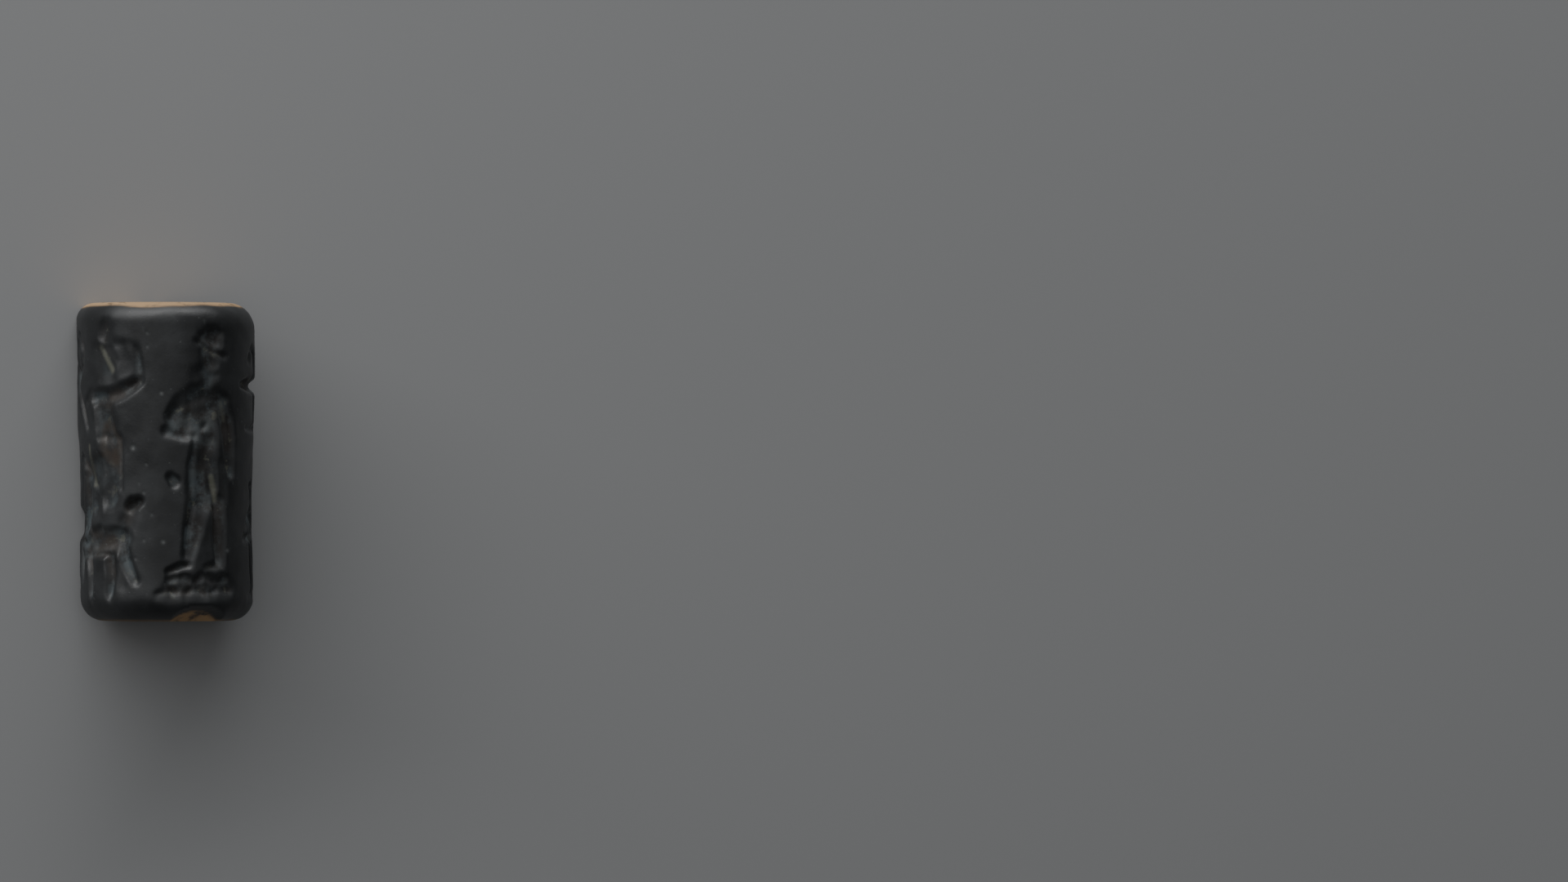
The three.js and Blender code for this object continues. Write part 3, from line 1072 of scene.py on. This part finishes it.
@dataclass
class CylinderSeal:
    """The seal: its pierced body, its engraving, its break and its finish."""

    # The body, with the wear of its waist
    length: float = LENGTH
    head_diameter: float = 14.7
    foot_diameter: float = 14.3
    waist_wear: float = 0.16
    waist_above_foot: float = 10.0
    waist_spread: float = 5.5

    # Rounding of the two rims, of which the head rim is worn more on one side
    head_rim_sharpest: float = 1.4
    head_rim_roundest: float = 2.2
    head_rim_roundest_at: float = 90.0
    foot_rim: float = 2.0

    # The bore with its worn mouths, and how far the end faces have sunk
    bore_diameter: float = BORE
    mouth_wear: float = 0.3
    mouth_depth: float = 0.45
    end_sunk: float = 0.03
    end_sunk_most: float = 0.1

    # The chip in the foot rim at the front: a ball through its lip and its floor
    foot_chip_facing: float = 25.0
    foot_chip_radius: float = 5.0
    foot_chip_rise: float = 1.35
    foot_chip_floor: float = 4.4

    # The scene between its plain margins, and how often its edges are worn
    margin: float = 1.55
    wear_passes: int = 4
    figures: tuple[Figure, ...] = (
        MACE_BEARER,
        Footing().figure(),
        GOD_ON_BULL,
        BULL,
        DOUBLE_BAR,
        SMALL_FIGURE,
        ROBED_ATTENDANT,
    )

    # Unevenness of the lines, of the cuts, of the skin, of the break and of the hidden faces
    wave_radius: float = 7.2
    wander: Waves = Waves(2.2, 5, 0.7)
    lines_aside: Waves = Waves(2.6, 3, 0.9)
    lines_along: Waves = Waves(2.0, 4, 0.08)
    cut_waves: Waves = Waves(0.9, 6, 0.14)
    cut_streaks: Waves = Waves(0.35, 7, 0.06, (1.0, 0.12, 1.0))
    skin_waves: Waves = Waves(2.4, 1, 0.035)
    skin_grain: Waves = Waves(0.8, 2, 0.012)
    break_waves: Waves = Waves(1.4, 8, 0.05)
    break_grain: Waves = Waves(0.45, 9, 0.025)
    bore_waves: Waves = Waves(0.9, 11, 0.02)
    end_waves: Waves = Waves(1.6, 21)

    # Shares of the wandering waves that the rims and the foot chip follow
    head_rim_wander: float = 0.12
    foot_rim_wander: float = 0.15
    foot_chip_wander: float = 0.08

    # How deep below the engraved skin the break shows as broken stone
    break_shows: Band = (0.0, 0.12)

    # The mesh: columns round the seal, those of them across the flat, rows of the rims, rings of
    # the end faces and of the bore, and the two rounds of cuts that make the rows of the outside
    columns: int = 384
    flat_columns: int = 90
    rim_rows: int = 16
    end_rings: int = 7
    bore_rings: int = 11
    row_cuts: tuple[int, int] = (14, 14)

    # Where the axis is to the side of the origin, so that the seal's box is centred
    axis_aside: float = 0.0869

    broken: BrokenSide = field(default_factory=BrokenSide)
    pits: Pits = field(default_factory=Pits)
    soiling: Soiling = field(default_factory=Soiling)
    finish: StoneFinish = field(default_factory=StoneFinish)

    @property
    def half(self) -> float:
        """Half the seal's length."""
        return self.length / 2.0

    @property
    def bore_radius(self) -> float:
        """Radius of the bore."""
        return self.bore_diameter / 2.0

    @property
    def mean_radius(self) -> float:
        """Radius that the scene was laid out on."""
        return (self.head_diameter + self.foot_diameter) / 4.0

    @property
    def rows(self) -> int:
        """Rows of faces on the outside."""
        return math.prod(cuts + 1 for cuts in self.row_cuts)

    @property
    def axis_middle(self) -> Point:
        """Middle of the axis as the seal lies on its flat."""
        return (self.axis_aside, 0.0, self.broken.flat_distance)

    def laid_out(
        self, figures: tuple[Figure, ...], around: np.ndarray, height: np.ndarray
    ) -> np.ndarray:
        """Depth of some figures, each at its own place in the scene.

        Args:
            figures: The figures.
            around: Angles of the places.
            height: Heights of the places.

        Returns:
            Depths in millimetres.
        """
        step = (self.length - 2.0 * self.margin) / STEPS_UP
        up = (height + self.half - self.margin) / step
        total = np.zeros_like(height)
        for figure in figures:
            side = np.radians(turn_between(figure.around, around)) * self.mean_radius / step
            near = np.abs(side) < FIGURE_REACH
            for each in figure.cuts:
                total[near] += each.depth_at(side[near], up[near]) ** BLEND
        return total ** (1.0 / BLEND)

    def body_radius(self, height: np.ndarray) -> np.ndarray:
        """Radius of the body before it was engraved and broken.

        Args:
            height: Heights of the places.

        Returns:
            Radii.
        """
        share = height / self.length + 0.5
        diameter = self.foot_diameter + (self.head_diameter - self.foot_diameter) * share
        from_waist = (height - self.waist_above_foot + self.half) / self.waist_spread
        return diameter / 2.0 - self.waist_wear * np.exp(-(from_waist**2))

    def head_rim(self, around: np.ndarray) -> np.ndarray:
        """Radius of the head rim's rounding round the seal."""
        share = (1.0 + np.cos(np.radians(around - self.head_rim_roundest_at))) / 2.0
        return self.head_rim_sharpest + (self.head_rim_roundest - self.head_rim_sharpest) * share

    @staticmethod
    def rim_drop(rim: np.ndarray, from_end: np.ndarray) -> np.ndarray:
        """How far a rounded rim has drawn in at a distance from its end."""
        left = np.clip(rim - from_end, 0.0, None)
        return rim - np.sqrt(np.maximum(rim**2 - left**2, 0.0))

    def mouth_flare(self, height: np.ndarray) -> np.ndarray:
        """How much wider the bore is near its worn mouths."""
        inside = np.clip((self.half - np.abs(height)) / (2.0 * self.mouth_depth), 0.0, 1.0)
        return self.mouth_wear * (1.0 - inside) ** 2

    def foot_chip(self) -> Scar:
        """The chip in the foot rim: the inside of a ball through its lip and its floor.

        Returns:
            The chip.
        """
        rise, floor = self.foot_chip_rise, self.foot_chip_floor
        lip = self.foot_diameter / 2.0 - self.rim_drop(np.array(self.foot_rim), np.array(rise))
        half_chord = math.hypot(lip - floor, rise) / 2.0
        away = math.sqrt(self.foot_chip_radius**2 - half_chord**2) / (2.0 * half_chord)
        out = (lip + floor) / 2.0 + rise * away
        height = rise / 2.0 - (lip - floor) * away - self.half
        return Scar(self.foot_chip_facing, out, self.foot_chip_radius, height)

    def outside(self, around: np.ndarray, height: np.ndarray) -> Outside:
        """The seal's outside and what lies on it.

        Args:
            around: Angles of the grid of places.
            height: Heights of the grid of places.

        Returns:
            The outside at those places.
        """
        spots = placed(around, self.wave_radius, height)
        from_head, from_foot = self.half - height, self.half + height
        wander = self.wander.at(spots)
        lines = around + self.lines_aside.at(spots), height + self.lines_along.at(spots)
        uneven = 1.0 + self.cut_waves.at(spots) + self.cut_streaks.at(spots)
        cuts = worn(self.laid_out(self.figures, *lines), self.wear_passes) * uneven
        rims = self.rim_drop(self.head_rim(around) + self.head_rim_wander * wander, from_head)
        rims = rims + self.rim_drop(self.foot_rim + self.foot_rim_wander * wander, from_foot)
        skin = self.skin_waves.at(spots) + self.skin_grain.at(spots) - self.skin_waves.amount
        pits, flecks = self.pits.at(around, height, self.mean_radius)
        engraved = self.body_radius(height) - rims + skin - cuts - pits
        rough = np.abs(self.break_waves.at(spots)) + np.abs(self.break_grain.at(spots))
        broken = self.broken.reach(around, height, rough)
        chip_scar = self.foot_chip().reach(around, height)
        chip = chip_scar + self.foot_chip_wander * wander

        dust, earth = self.soiling.in_cuts(around, height, cuts)
        masks = {
            Mask.DUST: dust,
            Mask.EARTH: earth,
            # Painted highlight streaks on lit cut walls
            Mask.PAINTED_HIGHLIGHT: self.laid_out(PAINTED_HIGHLIGHT_STREAKS, *lines),
            Mask.FILM: self.soiling.film(from_head, from_foot, wander, chip_scar),
            Mask.BROKEN: smooth_share(engraved - broken, *self.break_shows),
            Mask.FLECK: flecks,
        }
        return Outside(np.minimum(np.minimum(engraved, broken), chip), masks)

    @staticmethod
    def choose_edges(blank: bpy.types.Object, axis: int, low: float, high: float) -> None:
        """Selects the edges whose two ends lie between two distances along an axis.

        Args:
            blank: The object, in edit mode.
            axis: Number of the axis.
            low: The smaller distance from the middle, to either side.
            high: The larger distance.
        """
        bpy.ops.mesh.select_mode(type="EDGE")
        bpy.ops.mesh.select_all(action="DESELECT")
        bpy.ops.object.mode_set(mode="OBJECT")
        points = blank.data.vertices
        for edge in blank.data.edges:
            edge.select = all(low < abs(points[end].co[axis]) < high for end in edge.vertices)
        bpy.ops.object.mode_set(mode="EDIT")

    def blank(self) -> bpy.types.Object:
        """Spins the pierced blank from one section.

        Returns:
            The blank, with even rows and columns.
        """
        bpy.ops.object.select_all(action="DESELECT")
        bpy.ops.mesh.primitive_plane_add(size=2.0, rotation=(0.0, 0.0, 0.0))
        blank = bpy.context.object
        blank.name = "engraved_seal"
        outer, inner = self.mean_radius, self.bore_radius
        blank.data.transform(Matrix.Diagonal(((outer - inner) / 2.0, self.half, 1.0, 1.0)))
        blank.data.transform(Matrix.Translation(((outer + inner) / 2.0, 0.0, 0.0)))
        bpy.ops.object.mode_set(mode="EDIT")
        bpy.ops.mesh.select_all(action="SELECT")
        bpy.ops.mesh.delete(type="ONLY_FACE")
        sides = (
            (0, outer - TOUCH, FAR, self.row_cuts),
            (0, 0.0, inner + TOUCH, (self.bore_rings,)),
            (1, self.half - TOUCH, FAR, (self.end_rings - 1,)),
        )
        for axis, low, high, rounds in sides:
            for cuts in rounds:
                self.choose_edges(blank, axis, low, high)
                bpy.ops.mesh.subdivide(number_cuts=cuts)
        bpy.ops.mesh.select_all(action="SELECT")
        bpy.ops.mesh.spin(
            steps=self.columns, angle=2.0 * math.pi, center=(0.0, 0.0, 0.0), axis=(0.0, 1.0, 0.0)
        )
        bpy.ops.mesh.select_all(action="SELECT")
        bpy.ops.mesh.remove_doubles(threshold=TOUCH)
        bpy.ops.mesh.normals_make_consistent(inside=False)
        bpy.ops.object.mode_set(mode="OBJECT")
        return blank

    def column_angles(self) -> np.ndarray:
        """Angles of the columns: close together round the scene, wider across the flat.

        Returns:
            The angles in the order of the columns.
        """
        half_angle = math.degrees(math.acos(self.broken.flat_distance / self.mean_radius))
        start = self.broken.facing + half_angle - 360.0
        stop = self.broken.facing - half_angle
        carved = self.columns - self.flat_columns
        scene = start + (stop - start) * np.arange(carved) / carved
        across = math.tan(math.radians(half_angle)) * (
            1.0 - 2.0 * np.arange(self.flat_columns) / self.flat_columns
        )
        return np.concatenate([scene, self.broken.facing - np.degrees(np.arctan(across))])

    def row_heights(self) -> np.ndarray:
        """Heights of the rows on the outside, close together at the rims.

        Returns:
            The heights from the foot end to the head end.
        """
        rim = self.head_rim_roundest
        bend = 1.0 - np.cos(np.radians(90.0 * np.arange(self.rim_rows) / self.rim_rows))
        between = self.rows + 1 - 2 * self.rim_rows
        side = np.linspace(-self.half + rim, self.half - rim, between)
        return np.concatenate([rim * bend - self.half, side, (self.half - rim * bend)[::-1]])

    def sort_points(self, mesh: bpy.types.Mesh, angles: np.ndarray) -> BlankPoints:
        """Finds where each point of the blank belongs on the seal.

        Args:
            mesh: The blank's mesh.
            angles: Angles of the columns.

        Returns:
            The points.
        """
        place = np.empty(len(mesh.vertices) * 3)
        mesh.vertices.foreach_get("co", place)
        place = place.reshape(-1, 3)
        across = np.hypot(place[:, 0], place[:, 2])
        turn = np.degrees(np.arctan2(place[:, 0], place[:, 2])) % 360.0
        column = np.rint(turn / 360.0 * self.columns).astype(int) % self.columns
        row = np.rint((place[:, 1] / self.length + 0.5) * self.rows).astype(int)
        outer = across > self.mean_radius - TOUCH
        inner = across < self.bore_radius + TOUCH
        return BlankPoints(place, across, angles[column], row, column, outer, inner)

    def end_faces(self, points: BlankPoints, edges: np.ndarray) -> tuple[np.ndarray, np.ndarray]:
        """Fits the rings of both end faces between the bore's mouths and the outer edges.

        Args:
            points: The blank's points.
            edges: Radius of the outside by row and column.

        Returns:
            Distances from the axis and heights of the points on the end faces.
        """
        ends = points.ends
        level = points.place[ends, 1]
        share = (points.across[ends] - self.bore_radius) / (self.mean_radius - self.bore_radius)
        edge = edges[np.where(level > 0, self.rows, 0), points.column[ends]]
        mouth = self.bore_radius + self.mouth_wear
        radius = mouth + (edge - mouth) * share
        swell = 1.0 + self.end_waves.at(placed(points.around[ends], radius, level))
        sunk = self.end_sunk * swell * np.sin(math.pi * share) ** 0.5
        return radius, level - np.sign(level) * np.clip(sunk, 0.0, self.end_sunk_most)

    def carve(self, blank: bpy.types.Object) -> None:
        """Moves the blank's points to the worn, engraved and broken surface.

        Args:
            blank: The blank, which becomes the seal.
        """
        angles, heights = self.column_angles(), self.row_heights()
        outside = self.outside(*np.meshgrid(angles, heights))
        points = self.sort_points(blank.data, angles)
        outer, inner, ends = points.outer, points.inner, points.ends
        radius, height = points.across.copy(), points.place[:, 1].copy()
        radius[outer] = points.on_outside(outside.radius)
        height[outer] = heights[points.row[outer]]
        radius[inner] += self.mouth_flare(height[inner])
        radius[inner] += self.bore_waves.at(points.place[inner])
        radius[ends], height[ends] = self.end_faces(points, outside.radius)
        lying = placed(points.around - self.broken.facing + 180.0, radius, height)
        lying += self.axis_middle
        lying *= MM
        blank.data.vertices.foreach_set("co", lying.reshape(-1))
        blank.data.update()
        self.mark(blank.data, points, outside)

    def mark(self, mesh: bpy.types.Mesh, points: BlankPoints, outside: Outside) -> None:
        """Writes the masks that the finish reads to the mesh.

        Args:
            mesh: The seal's mesh.
            points: Its points.
            outside: The outside with its masks.
        """
        for mask in Mask:
            share = np.zeros(len(points.place))
            share[points.outer] = points.on_outside(outside.masks[mask])
            if mask is Mask.FILM:
                share[points.ends] = self.soiling.end_face_film
                share[points.inner] = self.soiling.bore_film
            layer = mesh.attributes.new(mask.value, "FLOAT", "POINT")
            layer.data.foreach_set("value", np.clip(share, 0.0, 1.0).astype(np.float32))

    def build(self) -> bpy.types.Object:
        """Makes the seal and dresses it.

        Returns:
            The finished seal.
        """
        seal = self.blank()
        self.carve(seal)
        seal.data.materials.clear()
        seal.data.materials.append(self.finish.material())
        bpy.ops.object.select_all(action="DESELECT")
        seal.select_set(True)
        bpy.context.view_layer.objects.active = seal
        bpy.ops.object.shade_smooth()
        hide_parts("seal")
        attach(seal, "root")
        return seal


@dataclass(frozen=True)
class Lamp:
    """One soft lamp.

    Args:
        name: Its name.
        power: Its power in watts.
        size: Its width and height in metres.
        place: Its place in metres.
    """

    name: str
    power: float
    size: tuple[float, float]
    place: Point

    def hang(self, target: Point) -> None:
        """Hangs the lamp so that it points at a place.

        Args:
            target: The place in metres.
        """
        light = bpy.data.lights.new(self.name, "AREA")
        light.shape = "RECTANGLE"
        light.energy = self.power
        light.size, light.size_y = self.size
        lamp = bpy.data.objects.new(self.name, light)
        lamp.location = self.place
        toward = Vector(target) - Vector(self.place)
        lamp.rotation_euler = toward.to_track_quat("-Z", "Y").to_euler()
        bpy.context.scene.collection.objects.link(lamp)


@dataclass(frozen=True)
class Studio:
    """A plain pale floor, soft light and the camera."""

    # Middle of the seal's axis, in millimetres
    seal_middle: Point

    # The floor, and the air that lights everything a little
    floor_size: float = 3.0
    floor_colour: Colour = (0.36, 0.365, 0.37, 1.0)
    floor_roughness: float = 0.9
    air_colour: Colour = (0.8, 0.82, 0.84, 1.0)
    air_strength: float = 0.10

    # The lamps light the seal from its head end, a little from the left
    lit_place: Point = (0.0, 0.0, 0.004)
    lamps: tuple[Lamp, ...] = (
        Lamp("key", 3.7, (1.10, 0.20), (-0.17, 0.44, 0.14)),
        Lamp("left_fill", 0.07, (0.30, 0.30), (-0.38, 0.06, 0.26)),
        Lamp("overhead", 1.1, (1.10, 1.10), (-0.24, 0.22, 0.80)),
    )

    # The picture and the camera: the sensor and the lens in millimetres, how far the view leans
    # to the left, how large a millimetre of the seal is in the picture, and where its middle is
    picture: tuple[float, float] = (1920.0, 1080.0)
    sensor: float = 36.0
    lens: float = 200.0
    lean: float = -17.0
    pixels_to_mm: float = 14.85
    seal_at: tuple[float, float] = (203.5, 565.5)
    nearest: float = 0.01

    def floor(self) -> None:
        """Lays the floor."""
        bpy.ops.object.select_all(action="DESELECT")
        bpy.ops.mesh.primitive_plane_add(size=self.floor_size)
        ground = bpy.context.object
        ground.name = "studio_floor"
        work = Nodes("floor_grey")
        work.shader.inputs["Base Color"].default_value = self.floor_colour
        work.shader.inputs["Roughness"].default_value = self.floor_roughness
        ground.data.materials.append(work.material)

    def light(self) -> None:
        """Hangs the lamps and sets the air's own light."""
        for lamp in self.lamps:
            lamp.hang(self.lit_place)
        world = bpy.data.worlds.new("studio_air")
        world.use_nodes = True
        air = world.node_tree.nodes["Background"]
        air.inputs["Color"].default_value = self.air_colour
        air.inputs["Strength"].default_value = self.air_strength
        bpy.context.scene.world = world

    def camera(self) -> None:
        """Sets the camera that looks down on the lying seal."""
        wide, high = self.picture
        pixels = self.lens / self.sensor * wide
        distance = pixels / self.pixels_to_mm * MM
        aside = math.atan((wide / 2.0 - self.seal_at[0]) / pixels)
        below = math.atan((self.seal_at[1] - high / 2.0) / pixels)
        lean = math.radians(self.lean)
        outward = Vector((math.sin(lean), 0.0, math.cos(lean)))
        right = Vector((math.cos(lean), 0.0, -math.sin(lean)))
        up = Vector((0.0, 1.0, 0.0))
        turn = Matrix((right, up, outward)).transposed()
        swing = Matrix.Rotation(-aside, 3, "Y") @ Matrix.Rotation(below, 3, "X")
        middle = Vector([value * MM for value in self.seal_middle])
        stand = Matrix.Translation(middle + outward * distance)
        eye = bpy.data.cameras.new("camera")
        eye.lens = self.lens
        eye.clip_start = self.nearest
        holder = bpy.data.objects.new("camera", eye)
        holder.matrix_world = stand @ (turn @ swing).to_4x4()
        bpy.context.scene.collection.objects.link(holder)
        bpy.context.scene.camera = holder

    def build(self) -> None:
        """Makes the floor, the lamps and the camera."""
        self.floor()
        self.light()
        self.camera()


def main() -> None:
    """Builds the seal and its studio, and logs the seal's points and the studio's lamps."""
    logging.basicConfig(level=logging.INFO, format="%(name)s: %(message)s")
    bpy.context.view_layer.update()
    seal = CylinderSeal()
    piece = seal.build()
    LOG.info("%s: %d points", piece.name, len(piece.data.vertices))
    studio = Studio(seal.axis_middle)
    studio.build()
    LOG.info("studio: floor, %d lamps and the camera", len(studio.lamps))
    bpy.context.view_layer.update()


if __name__ == "__main__":
    main()
